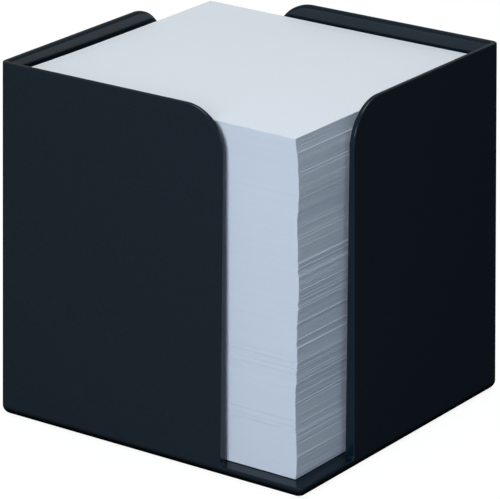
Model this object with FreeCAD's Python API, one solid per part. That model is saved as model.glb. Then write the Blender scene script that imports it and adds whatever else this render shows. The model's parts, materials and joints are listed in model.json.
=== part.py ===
"""Note box: a moulded holder with two L-shaped walls, filled with loose square-cut note sheets.

Millimetres, +Z up.  The origin is the centre of the foot print, on the surface the box stands on.
The two L-shaped walls wrap the (-X, -Y) and (+X, +Y) corners.  The other two corners are open,
so that fingers reach the sheets.  Half a turn about Z brings the holder back onto itself.
"""
import FreeCAD
import Part

import math
import os

# ---- the note sheets ----
SHEET_X = 90.0
SHEET_Y = 87.0
SHEET_THICKNESS = 0.1
PILE_HEIGHT = 92.9
PACKETS = 44                # sheets cling together in packets that slip against each other
PACKET_UNEVENNESS = 0.7     # by which the borders of the packets stray from an even share
SLIP_X = 0.5                # scale of the packets' slip along X and along Y
SLIP_Y = 0.1
SLIP_SHARE = 0.6            # largest share of the clearance that a slip may use up
LEAN = -0.3                 # slip at the top of the pile, as a share of its scale
JITTER = 0.12               # slip of each packet by itself, as a share
# waves in the side of the pile: share of the slip's scale, waves in the full height, start
WAVES = ((0.52, 1.0, 0.6), (0.34, 3.76, 0.01), (0.24, 2.53, 0.0), (0.12, 5.9, 0.15))
LAST_HEIGHT = 3.8           # the sheets put in last, on top, lie a little further back along X
LAST_SET_BACK = 0.65

# ---- room for the sheets in the holder ----
CLEARANCE_X = 1.8           # each side, at the floor
CLEARANCE_Y = 1.1
HEADROOM = 4.2              # from the top sheet to the rim
SETTLED_X = 0.37            # how far off centre the pile has settled
SETTLED_Y = -0.05

# ---- the moulding ----
FLOOR = 3.1
RIM_WIDTH = 1.65            # thickness of the walls at the rim
INNER_DRAFT_WIDTH = 0.1     # how far each side leans, over the full height
OUTER_DRAFT_WIDTH = 1.5
CORNER_RADIUS = 2.0         # standing edges outside
INNER_CORNER_RADIUS = 0.8
BASE_RADIUS = 2.5           # outer edge underneath
EDGE_RADIUS = 0.35          # rim, wall ends and ledge, outside
INNER_EDGE_RADIUS = 0.85    # rim and wall ends, towards the sheets
OPENING_X = 26.0            # open length at each open corner
OPENING_Y = 24.4
END_RADIUS = 12.0           # the top corner of each wall end
END_FOOT_RADIUS = 1.0       # where a wall end runs out into the ledge

# ---- the underside ----
LAND_WIDTH = 3.5            # flat rim that the box stands on
HOLLOW_DEPTH = 1.2
HOLLOW_CORNER_RADIUS = 3.0
RIB_WIDTH = 2.2
HUB_DIAMETER = 14.0

# ---- derived ----
HEIGHT = FLOOR + PILE_HEIGHT + HEADROOM
WALL_FOOT = RIM_WIDTH + INNER_DRAFT_WIDTH + OUTER_DRAFT_WIDTH
BASE_HALF_X = SHEET_X / 2 + CLEARANCE_X + WALL_FOOT
BASE_HALF_Y = SHEET_Y / 2 + CLEARANCE_Y + WALL_FOOT
BEYOND = 5.0                # how far a cutting shape runs past what it cuts
TOUCH = 0.001               # closer than this counts as touching
Z_AXIS = FreeCAD.Vector(0, 0, 1)


def vector(x, y, z):
    return FreeCAD.Vector(x, y, z)


def outer_half(base_half, z):
    """Half the outer width at height z."""
    return base_half - OUTER_DRAFT_WIDTH * z / HEIGHT


def inner_half(base_half, z):
    """Half the inner width at height z."""
    return base_half - WALL_FOOT + INNER_DRAFT_WIDTH * z / HEIGHT


def tapered_block(half_width, z_low, z_high):
    """Block between two levels; half_width(base_half, z) gives its half sizes there."""
    x0, x1 = half_width(BASE_HALF_X, z_low), half_width(BASE_HALF_X, z_high)
    y0, y1 = half_width(BASE_HALF_Y, z_low), half_width(BASE_HALF_Y, z_high)
    block = Part.makeWedge(-x0, z_low, -y0, -y1, -x1, x0, z_high, y0, y1, x1)
    block.rotate(vector(0, 0, 0), vector(1, 0, 0), 90)
    return block


def standing_edges(shape):
    """Edges that run between the lowest and the highest level of a tapered block."""
    span = shape.BoundBox.ZLength
    return [e for e in shape.Edges if e.BoundBox.ZLength > 0.9 * span]


def outer_body(height=HEIGHT):
    """The drafted outside, with its standing corners and lower edge rounded."""
    block = tapered_block(outer_half, 0.0, height)
    block = block.makeFillet(CORNER_RADIUS, standing_edges(block))
    foot = [e for e in block.Edges if e.BoundBox.ZMax < TOUCH]
    return block.makeFillet(min(BASE_RADIUS, FLOOR - EDGE_RADIUS), foot)


def cavity():
    """The space for the sheets, opening slightly towards the rim."""
    block = tapered_block(inner_half, FLOOR, HEIGHT + BEYOND)
    return block.makeFillet(INNER_CORNER_RADIUS, standing_edges(block))


def outline_face(segments, place):
    """Face from an outline; place turns its (u, z) points into space."""
    edges = []
    for segment in segments:
        points = [place(*p) for p in segment]
        maker = Part.Arc if len(points) == 3 else Part.LineSegment
        edges.append(maker(*points).toShape())
    return Part.Face(Part.Wire(edges))


def beyond_wall_end(end, far):
    """Outline of what lies beyond a wall end, in (u, z); u runs along the wall.

    The wall end stands straight on the ledge and rounds over at its top corner.
    """
    diagonal = END_RADIUS * math.sqrt(0.5)
    centre_u, centre_z = end - END_RADIUS, HEIGHT - END_RADIUS
    shoulder = (end, centre_z)
    middle = (centre_u + diagonal, centre_z + diagonal)
    crown = (centre_u, HEIGHT)
    ring = [(centre_u, HEIGHT + BEYOND), (far, HEIGHT + BEYOND), (far, FLOOR), (end, FLOOR)]
    straight = zip([crown] + ring, ring + [shoulder])
    return [(shoulder, middle, crown), *straight]


def wall_foot(end):
    """Outline of the hollow fillet between a wall end and the ledge, in (u, z)."""
    near = END_FOOT_RADIUS * (1 - math.sqrt(0.5))
    root = (end, FLOOR)
    toe = (end + END_FOOT_RADIUS, FLOOR)
    top = (end, FLOOR + END_FOOT_RADIUS)
    return [(toe, (end + near, FLOOR + near), top), (top, root), (root, toe)]


def across_front_wall(segments, inside):
    """Carry an outline through the -Y wall, from outside it to the level y = -inside."""
    outside = BASE_HALF_Y + BEYOND
    face = outline_face(segments, lambda u, z: vector(u, -outside, z))
    return face.extrude(vector(0, outside - inside, 0))


def across_side_wall(segments, inside):
    """Carry an outline through the +X wall, from outside it to the level x = inside."""
    outside = BASE_HALF_X + BEYOND
    face = outline_face(segments, lambda u, z: vector(outside, -u, z))
    return face.extrude(vector(inside - outside, 0, 0))


def open_corner():
    """Everything above the ledge at the (+X, -Y) corner, between the two wall ends."""
    front = beyond_wall_end(BASE_HALF_X - OPENING_X, BASE_HALF_X + BEYOND)
    side = beyond_wall_end(BASE_HALF_Y - OPENING_Y, BASE_HALF_Y + BEYOND)
    front = across_front_wall(front, inner_half(BASE_HALF_Y, FLOOR) - BEYOND)
    side = across_side_wall(side, inner_half(BASE_HALF_X, FLOOR) - BEYOND)
    return front.fuse(side)


def wall_feet():
    """The fillets at the foot of the two wall ends, short of their rounded inner edges."""
    inset = 1.5 * INNER_EDGE_RADIUS
    front = wall_foot(BASE_HALF_X - OPENING_X)
    side = wall_foot(BASE_HALF_Y - OPENING_Y)
    front = across_front_wall(front, inner_half(BASE_HALF_Y, FLOOR) + inset)
    side = across_side_wall(side, inner_half(BASE_HALF_X, FLOOR) + inset)
    return [front.common(outer_body()), side.common(outer_body())]


def both_corners(shapes):
    """The shapes of one open corner, and the same shapes at the opposite corner."""
    turned = [shape.copy() for shape in shapes]
    for shape in turned:
        shape.rotate(vector(0, 0, 0), Z_AXIS, 180)
    return shapes + turned


def edges_cut_in(body, skin):
    """Edges of body that were cut across the faces of skin, above the floor."""
    found = []
    for edge in body.Edges:
        middle = edge.valueAt((edge.FirstParameter + edge.LastParameter) / 2)
        vertex = Part.Vertex(middle)
        on_face = skin.Shells[0].distToShape(vertex)[0] < TOUCH
        on_edge = any(e.distToShape(vertex)[0] < TOUCH for e in skin.Edges)
        if on_face and not on_edge and middle.z > FLOOR - TOUCH:
            found.append(edge)
    return found


def underside_hollow():
    """Shallow hollow under the floor, crossed by two ribs that meet at a hub."""
    half_x = BASE_HALF_X - BASE_RADIUS - LAND_WIDTH
    half_y = BASE_HALF_Y - BASE_RADIUS - LAND_WIDTH
    hollow = Part.makeBox(2 * half_x, 2 * half_y, HOLLOW_DEPTH, vector(-half_x, -half_y, 0))
    upright = [e for e in hollow.Edges if e.BoundBox.ZLength > HOLLOW_DEPTH / 2]
    hollow = hollow.makeFillet(HOLLOW_CORNER_RADIUS, upright)
    rib_x = Part.makeBox(2 * half_x, RIB_WIDTH, HOLLOW_DEPTH, vector(-half_x, -RIB_WIDTH / 2, 0))
    rib_y = Part.makeBox(RIB_WIDTH, 2 * half_y, HOLLOW_DEPTH, vector(-RIB_WIDTH / 2, -half_y, 0))
    hub = Part.makeCylinder(HUB_DIAMETER / 2, HOLLOW_DEPTH)
    return hollow.cut([rib_x, rib_y, hub])


def holder():
    """The one-piece moulding: floor, two L-shaped walls, ledges and underside."""
    body = outer_body().cut([cavity(), *both_corners([open_corner()])]).removeSplitter()
    body = body.makeFillet(INNER_EDGE_RADIUS, edges_cut_in(body, cavity()))
    body = body.fuse(both_corners(wall_feet())).removeSplitter()
    body = body.makeFillet(EDGE_RADIUS, edges_cut_in(body, outer_body(HEIGHT + BEYOND)))
    return body.cut(underside_hollow())


def whole_sheets(height):
    """The height of the nearest whole number of sheets."""
    return round(height / SHEET_THICKNESS) * SHEET_THICKNESS


def packet_levels():
    """Height in the pile of the underside of each packet, and of the top sheet at the end."""
    under_top_sheet = PILE_HEIGHT - SHEET_THICKNESS
    share = under_top_sheet / PACKETS
    levels = [0.0]
    for i in range(1, PACKETS):
        levels.append(whole_sheets(share * i + PACKET_UNEVENNESS * math.sin(2.3 * i)))
    return levels + [under_top_sheet]


def slip(height_share, number):
    """How far a packet has slipped from the middle of the pile, as a share of the slip's scale."""
    found = LEAN * (2 * height_share - 1) + JITTER * math.sin(5.1 * number)
    for share, waves, start in WAVES:
        found += share * math.sin(2 * math.pi * (waves * height_share + start))
    return found


def sheets(low, high, slip_x, slip_y):
    """The sheets between two heights in the pile, as one block with their cut edges flush."""
    x = SETTLED_X + slip_x * min(SLIP_X, SLIP_SHARE * CLEARANCE_X) - SHEET_X / 2
    if low > PILE_HEIGHT - LAST_HEIGHT - TOUCH:
        x -= LAST_SET_BACK
    y = SETTLED_Y + slip_y * min(SLIP_Y, SLIP_SHARE * CLEARANCE_Y) - SHEET_Y / 2
    return Part.makeBox(SHEET_X, SHEET_Y, high - low, vector(x, y, FLOOR + low))


def pile():
    """Name and solid of each packet, from the floor up, and of the top sheet."""
    levels = packet_levels()
    nodes = {}
    for i, (low, high) in enumerate(zip(levels, levels[1:])):
        share = (low + high) / (2 * PILE_HEIGHT)
        nodes[f"sheets_{i + 1:02d}"] = sheets(low, high, slip(share, i), slip(share, i + 11))
    nodes["top_sheet"] = sheets(levels[-1], PILE_HEIGHT, slip(1.0, 3), 0.0)
    return nodes


def main():
    os.makedirs("parts", exist_ok=True)
    nodes = {"holder": holder(), **pile()}
    for name, shape in nodes.items():
        shape.exportStep(f"parts/{name}.step")
        print(f"{name}: {len(shape.Solids)} solid, valid {shape.isValid()}, {shape.Volume:.1f} mm3")


main()
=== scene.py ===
"""Looks of the note box: matte black moulded plastic, loose white note sheets and soft studio light.

Metres, +Z up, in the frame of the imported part.  The holder keeps its own shape and gets its finishes
here.  Each packet of sheets is replaced by its single sheets, one mesh for each body that moves.
"""

import json
import math
import random

import bmesh
import bpy
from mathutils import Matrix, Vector


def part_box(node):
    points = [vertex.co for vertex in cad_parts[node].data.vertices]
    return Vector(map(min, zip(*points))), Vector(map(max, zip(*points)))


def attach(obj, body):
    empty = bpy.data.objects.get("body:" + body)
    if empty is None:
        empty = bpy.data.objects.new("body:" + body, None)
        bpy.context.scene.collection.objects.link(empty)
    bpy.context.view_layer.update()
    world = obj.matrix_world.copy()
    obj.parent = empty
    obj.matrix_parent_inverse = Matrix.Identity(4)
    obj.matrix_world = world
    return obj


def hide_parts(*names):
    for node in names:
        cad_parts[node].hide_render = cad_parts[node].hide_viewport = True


MM = 0.001

# ---- holder ----
MERGE_DISTANCE = 0.001 * MM
SHARP_ANGLE = math.radians(32)          # edges that turn by more stay sharp
OUTSIDE_FACING = 0.6                    # least of an outside face's normal that points out of the wall
UPRIGHT_FACING = 0.15                   # the same on the roundings of standing edges
UPRIGHT = 0.3                           # largest rise of a normal on those
LEDGE_TOP = 5.0 * MM                    # other faces whose middle is lower belong to the dull floor

# ---- plastic: darkest and lightest tone of its grain ----
GRAINED_TONES = ((0.0110, 0.0155, 0.0220, 1), (0.0240, 0.0320, 0.0415, 1))
SMOOTH_TONES = ((0.0010, 0.0075, 0.0140, 1), (0.0026, 0.0120, 0.0215, 1))

# Its finishes in the order of the holder's material slots: name, shine, tones, least and most
# roughness, and depth of the grain.
FINISHES = (
    ("grained_black_plastic", 0.0, GRAINED_TONES, (0.5, 0.6), 0.02 * MM),
    ("polished_black_plastic", 0.41, SMOOTH_TONES, (0.2, 0.28), 0.005 * MM),
    ("dull_black_plastic", 0.20, SMOOTH_TONES, (0.2, 0.28), 0.005 * MM),
)
GRAINED, POLISHED, DULL = range(len(FINISHES))
GRAIN = {"Scale": 3200.0, "Detail": 2.0, "Roughness": 0.6}
CLOUD = {"Scale": 45.0, "Detail": 3.0, "Roughness": 0.55}       # slow change of the roughness
GRAIN_STRENGTH = 0.25
PAINTED_SHADE_HEIGHTS = (1.3 * MM, 3.0 * MM)     # painted shade: between these heights the foot fades from its painted darkening to its full tone
PAINTED_SHADE_SHARE = 0.12                       # of that tone at the very bottom, where the painted shade is darkest

# ---- paper ----
PAPER_TONES = ((0.735, 0.752, 0.835, 1), (0.775, 0.79, 0.875, 1))
PAPER_SHINE = 0.2
PAPER_ROUGHNESS = (0.75, 0.95)
FIBRES = {"Scale": 1400.0, "Detail": 3.0, "Roughness": 0.6}
FIBRE_STRENGTH = 0.15
FIBRE_DEPTH = 0.02 * MM
FIBRE_SHARE = 0.35                      # of the fibres in a cut edge's tone; the rest is its sheet's own

# ---- note sheets ----
PACKET_PREFIX = "sheets_"
SHEET_THICKNESS = 0.1 * MM
AIR_SHARE = 0.05                        # of a sheet's thickness, left open between sheets
SINGLE_SLIP = 0.015 * MM                # by which single sheets stray inside a packet
SINGLE_TURN = math.radians(0.02)
SHEET_SEED = 7
RUN_SHEETS = (2, 4)                     # fewest and most sheets that cling together inside a packet

# How far those runs stray along X, in millimetres, each from a level above the table up.
RUN_SLIPS = ((0, 0.038), (24, 0.090), (64, 0.014))

# Groups of sheets that lie out of line with their packet, in millimetres: lowest and highest level
# above the table, and how far they lie towards +X and towards +Y.  Groups that overlap add up.
SHIFTED_GROUPS = (
    (3.1, 3.3, -0.9, 1.0), (3.3, 4.2, -0.2, -0.06), (4.2, 5.0, 0.0, -0.03), (7.2, 7.9, 0.05, 0.0),
    (8.2, 8.7, 0.06, 0.0), (9.0, 9.6, 0.08, 0.0), (13.9, 15.0, 0.08, 0.0), (16.6, 16.8, 0.0, 0.18),
    (16.9, 17.4, 0.05, -0.02), (17.8, 18.0, 0.0, 0.20), (18.0, 18.6, 0.10, 0.0),
    (19.4, 19.6, 0.0, 0.22), (20.2, 20.8, 0.10, 0.0), (24.1, 24.4, 0.12, 0.0),
    (27.9, 28.4, 0.10, 0.0), (30.8, 31.1, 0.14, 0.0), (32.5, 32.7, 0.0, 0.20),
    (33.8, 34.0, 0.10, 0.22), (35.5, 35.7, 0.10, 0.18), (36.9, 37.1, 0.0, 0.20),
    (38.7, 39.0, 0.14, 0.0), (41.7, 42.0, 0.13, 0.0), (46.4, 46.7, 0.13, 0.0),
    (47.9, 48.2, 0.16, 0.0), (50.6, 51.1, 0.10, 0.0), (52.3, 52.6, 0.16, 0.0),
    (55.0, 55.3, 0.12, 0.0), (58.4, 58.9, 0.06, 0.0), (66.3, 66.8, 0.06, 0.0),
    (71.8, 72.3, 0.06, 0.0), (89.6, 90.0, 0.16, 0.0), (90.0, 90.5, 0.13, 0.0),
    (90.5, 91.0, 0.09, 0.0), (91.0, 91.5, 0.05, 0.0), (92.2, 92.6, 0.60, 0.0),
    (92.6, 93.1, 0.55, 0.0), (93.1, 93.7, 0.61, 0.0), (93.7, 94.3, 0.55, 0.0),
    (94.3, 94.9, 0.50, 0.0), (94.9, 95.9, 0.44, 0.0),
)

# ---- top sheet ----
CURL_LIFT = 1.1 * MM                    # at its highest corner
CURL_SHARE = 0.38                       # of that lift, along the rest of its -X side
CURL_FADE_X = 2                         # powers by which the lift fades along the sheet
CURL_FADE_Y = 4
CURL_STEPS = 24
LAST_FORWARD = 0.35 * MM                # towards +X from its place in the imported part

# ---- the view ----
AZIMUTH = math.radians(35.532)
ELEVATION = math.radians(19.962)
ROLL = math.radians(0.125)
CAMERA_PLACE = (0.53671, -0.75225, 0.37982)
LENS_MM = 261.19
SENSOR_MM = 36.0

# ---- light: name, degrees round from the front and up, watts, colour ----
LAMPS = (
    ("front_left", 15.0, 18.0, 4.5, (0.80, 0.92, 1.0)),
    ("overhead", 0.0, 88.0, 3.72, (0.96, 1.0, 0.93)),
    ("right", 70.0, 10.0, 0.54, (0.45, 0.70, 0.95)),
)
LAMP_SIZE = 0.45
LAMP_DISTANCE = 0.8
LAMP_AIM = 0.05                         # height of the point that the lamps face

# ---- room: what dull surfaces get, and what rays see that show the background ----
ROOM_COLOUR = (0.9, 0.96, 1.0, 1)
ROOM_LIGHT = 0.03
BACK_LIGHT = 1.0                        # strength of the room light straight behind the object
BACK_SPREAD = 0.2                       # cosine at which it has faded to the rest of the room's
BACKDROP_COLOUR = (1, 1, 1, 1)
BACKDROP_TOP = math.radians(0)          # white up to here above the horizon
CEILING_START = math.radians(5)         # dim from here up
CEILING_TONE = 0.2

# ---- floor ----
FLOOR_HALF = 4.0                        # half the length of its sides
FLOOR_DROP = 0.05 * MM                  # below the foot of the holder
FLOOR_COLOUR = (0.15, 0.15, 0.15, 1)
FLOOR_GLOW = 0.92                       # for rays that show the background, so that it looks white

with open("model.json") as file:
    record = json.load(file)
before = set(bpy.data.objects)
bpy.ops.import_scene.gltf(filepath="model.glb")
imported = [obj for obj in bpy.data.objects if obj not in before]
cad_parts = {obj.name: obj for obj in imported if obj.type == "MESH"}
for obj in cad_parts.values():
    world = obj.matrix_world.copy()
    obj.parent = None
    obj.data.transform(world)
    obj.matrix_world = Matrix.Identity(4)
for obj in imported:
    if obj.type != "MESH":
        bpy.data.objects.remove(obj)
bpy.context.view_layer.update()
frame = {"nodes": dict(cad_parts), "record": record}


def new_nodes(tree):
    """Clear a node tree; return a maker of nodes and a maker of links.

    A setting goes to the input of that name, with spaces for its underscores, or to the node itself.
    """
    tree.nodes.clear()

    def node(kind, **settings):
        made = tree.nodes.new(kind)
        for name, value in settings.items():
            socket = name.replace("_", " ")
            if socket in made.inputs:
                made.inputs[socket].default_value = value
            else:
                setattr(made, name, value)
        return made

    return node, tree.links.new


def new_material(name):
    """Material with a node tree."""
    material = bpy.data.materials.new(name)
    material.use_nodes = True
    return material


# ---------------------------------------------------------------- materials

def moulded_plastic(name, shine, tones, roughness, grain_depth):
    """Black plastic straight from the mould, with a cold cast, a fine even grain and painted shade that
    darkens its foot towards the table.
    """
    material = new_material(name)
    node, link = new_nodes(material.node_tree)
    output = node("ShaderNodeOutputMaterial")
    shader = node("ShaderNodeBsdfPrincipled", Specular_IOR_Level=shine)
    place = node("ShaderNodeTexCoord")
    axes = node("ShaderNodeSeparateXYZ")
    grain = node("ShaderNodeTexNoise", **GRAIN)
    cloud = node("ShaderNodeTexNoise", **CLOUD)
    tone = node("ShaderNodeMix", data_type="RGBA", A=tones[0], B=tones[1])
    # painted shade: the tone is scaled down towards the table over the lowest few millimetres
    shade_share = node("ShaderNodeMapRange", interpolation_type="SMOOTHSTEP",
                 From_Min=PAINTED_SHADE_HEIGHTS[0], From_Max=PAINTED_SHADE_HEIGHTS[1], To_Min=PAINTED_SHADE_SHARE, To_Max=1.0)
    painted_shade_tone = node("ShaderNodeVectorMath", operation="SCALE")
    rough = node("ShaderNodeMapRange", To_Min=roughness[0], To_Max=roughness[1])
    bump = node("ShaderNodeBump", Strength=GRAIN_STRENGTH, Distance=grain_depth)

    link(place.outputs["Object"], grain.inputs["Vector"])
    link(place.outputs["Object"], cloud.inputs["Vector"])
    link(place.outputs["Object"], axes.inputs["Vector"])
    link(grain.outputs["Fac"], tone.inputs["Factor"])
    link(axes.outputs["Z"], shade_share.inputs["Value"])
    link(tone.outputs["Result"], painted_shade_tone.inputs[0])
    link(shade_share.outputs["Result"], painted_shade_tone.inputs["Scale"])
    link(cloud.outputs["Fac"], rough.inputs["Value"])
    link(grain.outputs["Fac"], bump.inputs["Height"])
    link(painted_shade_tone.outputs["Vector"], shader.inputs["Base Color"])
    link(rough.outputs["Result"], shader.inputs["Roughness"])
    link(bump.outputs["Normal"], shader.inputs["Normal"])
    link(shader.outputs["BSDF"], output.inputs["Surface"])
    return material


def note_paper(name, sheet_tones):
    """Uncoated white paper; with sheet_tones, each cut edge has a slightly different white."""
    material = new_material(name)
    node, link = new_nodes(material.node_tree)
    output = node("ShaderNodeOutputMaterial")
    shader = node("ShaderNodeBsdfPrincipled", Specular_IOR_Level=PAPER_SHINE)
    place = node("ShaderNodeTexCoord")
    fibres = node("ShaderNodeTexNoise", **FIBRES)
    tone = node("ShaderNodeMix", data_type="RGBA", A=PAPER_TONES[0], B=PAPER_TONES[1])
    rough = node("ShaderNodeMapRange", To_Min=PAPER_ROUGHNESS[0], To_Max=PAPER_ROUGHNESS[1])
    bump = node("ShaderNodeBump", Strength=FIBRE_STRENGTH, Distance=FIBRE_DEPTH)

    link(place.outputs["Object"], fibres.inputs["Vector"])
    if sheet_tones:
        single = node("ShaderNodeAttribute", attribute_name="tone")
        both = node("ShaderNodeMix", data_type="FLOAT", Factor=FIBRE_SHARE)
        link(single.outputs["Fac"], both.inputs["A"])
        link(fibres.outputs["Fac"], both.inputs["B"])
        link(both.outputs["Result"], tone.inputs["Factor"])
    else:
        link(fibres.outputs["Fac"], tone.inputs["Factor"])
    link(fibres.outputs["Fac"], rough.inputs["Value"])
    link(fibres.outputs["Fac"], bump.inputs["Height"])
    link(tone.outputs["Result"], shader.inputs["Base Color"])
    link(rough.outputs["Result"], shader.inputs["Roughness"])
    link(bump.outputs["Normal"], shader.inputs["Normal"])
    link(shader.outputs["BSDF"], output.inputs["Surface"])
    return material


# ---------------------------------------------------------------- the holder

def is_outside(face, pile_corner):
    """Whether a face of the holder lies beyond the pile and faces out of its wall."""
    centre = face.calc_center_median()
    least = UPRIGHT_FACING if abs(face.normal.z) < UPRIGHT else OUTSIDE_FACING
    for axis in (0, 1):
        outwards = face.normal[axis] * math.copysign(1, centre[axis])
        if abs(centre[axis]) > pile_corner[axis] and outwards > least:
            return True
    return False


def finish_of(face, pile_corner):
    """Slot of the finish that a face of the holder has."""
    if is_outside(face, pile_corner):
        return GRAINED
    return POLISHED if face.calc_center_median().z > LEDGE_TOP else DULL


def moulded_holder():
    """The holder with smooth roundings: grained outside, dull at its floor, and polished elsewhere."""
    pile_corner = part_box("sheets_01")[1]
    mesh = frame["nodes"]["holder"].data.copy()
    mesh.materials.clear()
    for finish in FINISHES:
        mesh.materials.append(moulded_plastic(*finish))
    shape = bmesh.new()
    shape.from_mesh(mesh)
    bmesh.ops.remove_doubles(shape, verts=shape.verts, dist=MERGE_DISTANCE)
    for face in shape.faces:
        face.smooth = True
        face.material_index = finish_of(face, pile_corner)
    for edge in shape.edges:
        edge.smooth = edge.calc_face_angle(0.0) < SHARP_ANGLE
    shape.to_mesh(mesh)
    shape.free()
    piece = bpy.data.objects.new("moulded_holder", mesh)
    bpy.context.scene.collection.objects.link(piece)
    evened = piece.modifiers.new("even_shading", "WEIGHTED_NORMAL")
    evened.keep_sharp = True
    evaluated = piece.evaluated_get(bpy.context.evaluated_depsgraph_get())
    made = bpy.data.meshes.new_from_object(evaluated)
    piece.modifiers.remove(evened)
    piece.data = made
    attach(piece, "holder")
    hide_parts("holder")


# ---------------------------------------------------------------- the pile of sheets

def single_sheets_tree():
    """Geometry Nodes that lay one sheet at each point, each slipped and turned a little by itself."""
    tree = bpy.data.node_groups.new("single_sheets", "GeometryNodeTree")
    node, link = new_nodes(tree)
    for name, kind in (
        ("Geometry", "Geometry"), ("Length", "Float"), ("Width", "Float"), ("Thickness", "Float"),
        ("Slip", "Float"), ("Turn", "Float"), ("Seed", "Int"), ("Paper", "Material"),
    ):
        tree.interface.new_socket(name, in_out="INPUT", socket_type=f"NodeSocket{kind}")
    tree.interface.new_socket("Geometry", in_out="OUTPUT", socket_type="NodeSocketGeometry")
    given = node("NodeGroupInput")
    result = node("NodeGroupOutput")
    points = node("GeometryNodeMeshToPoints")
    stray = node("ShaderNodeCombineXYZ")
    slip_back = node("ShaderNodeVectorMath", operation="SCALE", Scale=-1.0)
    slips = node("FunctionNodeRandomValue", data_type="FLOAT_VECTOR")
    slipped = node("GeometryNodeSetPosition")
    size = node("ShaderNodeCombineXYZ")
    sheet = node("GeometryNodeMeshCube")
    turn_back = node("ShaderNodeMath", operation="MULTIPLY")
    turn_back.inputs[1].default_value = -1.0
    turns = node("FunctionNodeRandomValue", data_type="FLOAT")
    turned = node("ShaderNodeCombineXYZ")
    laid = node("GeometryNodeInstanceOnPoints")
    tones = node("FunctionNodeRandomValue", data_type="FLOAT")
    toned = node("GeometryNodeStoreNamedAttribute", data_type="FLOAT", domain="INSTANCE", Name="tone")
    real = node("GeometryNodeRealizeInstances")
    papered = node("GeometryNodeSetMaterial")

    link(given.outputs["Geometry"], points.inputs["Mesh"])
    link(given.outputs["Slip"], stray.inputs["X"])
    link(given.outputs["Slip"], stray.inputs["Y"])
    link(stray.outputs["Vector"], slip_back.inputs[0])
    link(slip_back.outputs["Vector"], slips.inputs[0])
    link(stray.outputs["Vector"], slips.inputs[1])
    link(given.outputs["Seed"], slips.inputs["Seed"])
    link(points.outputs["Points"], slipped.inputs["Geometry"])
    link(slips.outputs[0], slipped.inputs["Offset"])
    link(given.outputs["Length"], size.inputs["X"])
    link(given.outputs["Width"], size.inputs["Y"])
    link(given.outputs["Thickness"], size.inputs["Z"])
    link(size.outputs["Vector"], sheet.inputs["Size"])
    link(given.outputs["Turn"], turn_back.inputs[0])
    link(turn_back.outputs[0], turns.inputs[2])
    link(given.outputs["Turn"], turns.inputs[3])
    link(given.outputs["Seed"], turns.inputs["Seed"])
    link(turns.outputs[1], turned.inputs["Z"])
    link(slipped.outputs["Geometry"], laid.inputs["Points"])
    link(sheet.outputs["Mesh"], laid.inputs["Instance"])
    link(turned.outputs["Vector"], laid.inputs["Rotation"])
    link(given.outputs["Seed"], tones.inputs["Seed"])
    link(laid.outputs["Instances"], toned.inputs["Geometry"])
    link(tones.outputs[1], toned.inputs["Value"])
    link(toned.outputs["Geometry"], real.inputs["Geometry"])
    link(real.outputs["Geometry"], papered.inputs["Geometry"])
    link(given.outputs["Paper"], papered.inputs["Material"])
    link(papered.outputs["Geometry"], result.inputs["Geometry"])
    return tree


def run_tree(name, tree, points, inputs):
    """Object with the mesh that the tree makes of the points, and no modifier left."""
    mesh = bpy.data.meshes.new(name)
    mesh.from_pydata(points, [], [])
    piece = bpy.data.objects.new(name, mesh)
    bpy.context.scene.collection.objects.link(piece)
    modifier = piece.modifiers.new("sheets", "NODES")
    modifier.node_group = tree
    for item in tree.interface.items_tree:
        if item.in_out == "INPUT" and item.name in inputs:
            modifier[item.identifier] = inputs[item.name]
    evaluated = piece.evaluated_get(bpy.context.evaluated_depsgraph_get())
    made = bpy.data.meshes.new_from_object(evaluated)
    piece.modifiers.remove(modifier)
    piece.data = made
    return piece


def packets_of(body):
    """Names of the packets of sheets that move with a body, from the lowest up."""
    names = frame["record"]["behaviour"]["bodies"][body]
    return sorted(name for name in names if name.startswith(PACKET_PREFIX))


def out_of_line(level):
    """How far the sheet at this level lies out of line with its packet."""
    shift = Vector((0, 0, 0))
    for low, high, towards_x, towards_y in SHIFTED_GROUPS:
        if low * MM <= level <= high * MM:
            shift += Vector((towards_x, towards_y, 0)) * MM
    return shift


def run_spread(level):
    """How far the runs of a packet at this level stray along X."""
    return [slip * MM for start, slip in RUN_SLIPS if level >= start * MM][-1]


def run_slips(count, spread, chance):
    """Slip of every sheet of a packet along X; the sheets of a run share one."""
    slips = []
    while len(slips) < count:
        slips += [chance.gauss(0, spread)] * chance.randint(*RUN_SHEETS)
    return slips[:count]


def sheet_places(packets):
    """Centre of every single sheet of these packets, from the lowest up."""
    chance = random.Random(SHEET_SEED)
    places = []
    for packet in packets:
        low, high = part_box(packet)
        middle = (low + high) / 2
        count = round((high.z - low.z) / SHEET_THICKNESS)
        for i, slip in enumerate(run_slips(count, run_spread(middle.z), chance)):
            z = low.z + (i + 0.5) * SHEET_THICKNESS
            places.append(Vector((middle.x + slip, middle.y, z)) + out_of_line(z))
    return places


def pile_of_sheets(name, body, tree, paper):
    """The single sheets of one body."""
    packets = packets_of(body)
    low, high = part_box(packets[0])
    inputs = {
        "Length": high.x - low.x, "Width": high.y - low.y,
        "Thickness": SHEET_THICKNESS * (1 - AIR_SHARE),
        "Slip": SINGLE_SLIP, "Turn": SINGLE_TURN, "Seed": SHEET_SEED, "Paper": paper,
    }
    pile = run_tree(name, tree, sheet_places(packets), inputs)
    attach(pile, body)
    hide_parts(*packets)


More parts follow.
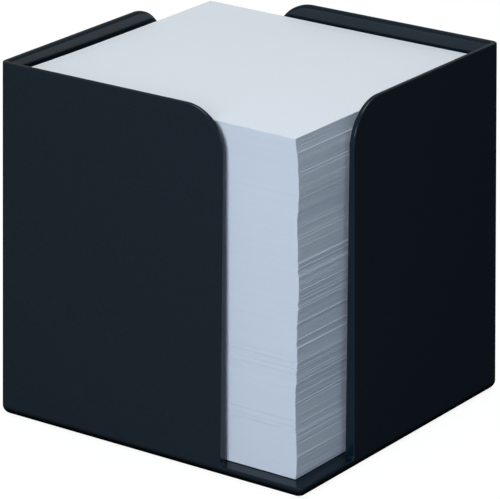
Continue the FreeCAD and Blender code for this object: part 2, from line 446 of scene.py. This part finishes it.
def top_note_sheet(paper):
    """The loose top sheet; its -X side curls up a little, most at the -Y corner."""
    low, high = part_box("top_sheet")
    shape = bmesh.new()
    bmesh.ops.create_cube(shape, size=1.0)
    level_edges = [edge for edge in shape.edges if abs(edge.verts[0].co.z - edge.verts[1].co.z) < 0.5]
    bmesh.ops.subdivide_edges(shape, edges=level_edges, cuts=CURL_STEPS, use_grid_fill=True)
    for vertex in shape.verts:
        u, v, w = vertex.co + Vector((0.5, 0.5, 0.5))
        corner = CURL_SHARE + (1 - CURL_SHARE) * (1 - v) ** CURL_FADE_Y
        lift = CURL_LIFT * (1 - u) ** CURL_FADE_X * corner
        place = Vector((u * (high.x - low.x), v * (high.y - low.y), w * (high.z - low.z) + lift))
        vertex.co = low + place
        vertex.co.x += LAST_FORWARD
    mesh = bpy.data.meshes.new("top_note_sheet")
    shape.to_mesh(mesh)
    shape.free()
    mesh.materials.append(paper)
    sheet = bpy.data.objects.new("top_note_sheet", mesh)
    bpy.context.scene.collection.objects.link(sheet)
    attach(sheet, "top_sheet")
    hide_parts("top_sheet")


# ---------------------------------------------------------------- camera, light and floor

def make_camera():
    """The camera, a little above the object and in front of the open corner of the holder."""
    data = bpy.data.cameras.new("camera")
    data.lens = LENS_MM
    data.sensor_width = SENSOR_MM
    data.sensor_fit = "HORIZONTAL"
    camera = bpy.data.objects.new("camera", data)
    camera.location = CAMERA_PLACE
    camera.rotation_euler = (math.pi / 2 - ELEVATION, 0, AZIMUTH)
    camera.rotation_euler.rotate_axis("Z", ROLL)
    bpy.context.scene.collection.objects.link(camera)
    bpy.context.scene.camera = camera


def soft_lamp(name, azimuth, elevation, power, colour):
    """Square soft box that faces the middle of the object; azimuth 0 is in front of the -Y side."""
    data = bpy.data.lights.new(name, "AREA")
    data.shape = "SQUARE"
    data.size = LAMP_SIZE
    data.energy = power
    data.color = colour
    lamp = bpy.data.objects.new(name, data)
    turn = math.radians(azimuth)
    rise = math.radians(elevation)
    away = Vector((math.sin(turn) * math.cos(rise), -math.cos(turn) * math.cos(rise), math.sin(rise)))
    lamp.location = Vector((0, 0, LAMP_AIM)) + LAMP_DISTANCE * away
    lamp.rotation_euler = (-away).to_track_quat("-Z", "Y").to_euler()
    bpy.context.scene.collection.objects.link(lamp)


def seen_rays(node, link):
    """Socket that is 1 for rays that show the background: from the camera, a shine or a clear piece."""
    path = node("ShaderNodeLightPath")
    shiny = node("ShaderNodeMath", operation="MAXIMUM")
    clear = node("ShaderNodeMath", operation="MAXIMUM")
    link(path.outputs["Is Camera Ray"], shiny.inputs[0])
    link(path.outputs["Is Glossy Ray"], shiny.inputs[1])
    link(shiny.outputs["Value"], clear.inputs[0])
    link(path.outputs["Is Transmission Ray"], clear.inputs[1])
    return clear.outputs["Value"]


def make_world():
    """Soft room light from behind; rays that show the background see a white backdrop, dim above."""
    world = bpy.data.worlds.new("room")
    bpy.context.scene.world = world
    world.use_nodes = True
    node, link = new_nodes(world.node_tree)
    output = node("ShaderNodeOutputWorld")
    room = node("ShaderNodeBackground", Color=ROOM_COLOUR)
    backdrop = node("ShaderNodeBackground", Color=BACKDROP_COLOUR)
    seen = node("ShaderNodeMixShader")
    place = node("ShaderNodeTexCoord")
    axes = node("ShaderNodeSeparateXYZ")
    fade = node("ShaderNodeMapRange", interpolation_type="SMOOTHSTEP",
                From_Min=math.sin(BACKDROP_TOP), From_Max=math.sin(CEILING_START),
                To_Min=1.0, To_Max=CEILING_TONE)
    behind = node("ShaderNodeVectorMath", operation="DOT_PRODUCT")
    behind.inputs[1].default_value = (-math.sin(AZIMUTH), math.cos(AZIMUTH), 0)
    spread = node("ShaderNodeMapRange", interpolation_type="SMOOTHSTEP",
                  From_Min=BACK_SPREAD, From_Max=1.0, To_Min=ROOM_LIGHT, To_Max=BACK_LIGHT)

    link(place.outputs["Generated"], behind.inputs[0])
    link(behind.outputs["Value"], spread.inputs["Value"])
    link(spread.outputs["Result"], room.inputs["Strength"])
    link(place.outputs["Generated"], axes.inputs["Vector"])
    link(axes.outputs["Z"], fade.inputs["Value"])
    link(fade.outputs["Result"], backdrop.inputs["Strength"])
    link(seen_rays(node, link), seen.inputs[0])
    link(room.outputs["Background"], seen.inputs[1])
    link(backdrop.outputs["Background"], seen.inputs[2])
    link(seen.outputs["Shader"], output.inputs["Surface"])


def make_floor():
    """Plain pale floor that looks white and keeps the object's soft shadow."""
    mesh = bpy.data.meshes.new("floor")
    corners = [(x * FLOOR_HALF, y * FLOOR_HALF, 0) for x, y in ((-1, -1), (1, -1), (1, 1), (-1, 1))]
    mesh.from_pydata(corners, [], [(0, 1, 2, 3)])
    floor = bpy.data.objects.new("floor", mesh)
    floor.location.z = -FLOOR_DROP
    bpy.context.scene.collection.objects.link(floor)
    material = new_material("pale_floor")
    node, link = new_nodes(material.node_tree)
    output = node("ShaderNodeOutputMaterial")
    matte = node("ShaderNodeBsdfDiffuse", Color=FLOOR_COLOUR)
    glow = node("ShaderNodeEmission", Strength=FLOOR_GLOW)
    none = node("ShaderNodeEmission", Strength=0.0)
    seen = node("ShaderNodeMixShader")
    both = node("ShaderNodeAddShader")
    link(seen_rays(node, link), seen.inputs[0])
    link(none.outputs["Emission"], seen.inputs[1])
    link(glow.outputs["Emission"], seen.inputs[2])
    link(matte.outputs["BSDF"], both.inputs[0])
    link(seen.outputs["Shader"], both.inputs[1])
    link(both.outputs["Shader"], output.inputs["Surface"])
    mesh.materials.append(material)


def main():
    """Stage the view, then dress the holder and the sheets."""
    bpy.context.scene.view_settings.view_transform = "Standard"
    make_camera()
    make_world()
    make_floor()
    for name, azimuth, elevation, power, colour in LAMPS:
        soft_lamp(name, azimuth, elevation, power, colour)

    moulded_holder()
    cut_edges = note_paper("cut_paper_edges", True)
    paper = note_paper("note_paper", False)
    tree = single_sheets_tree()
    pile_of_sheets("lower_note_sheets", "lower_sheets", tree, cut_edges)
    pile_of_sheets("upper_note_sheets", "upper_sheets", tree, cut_edges)
    top_note_sheet(paper)


main()
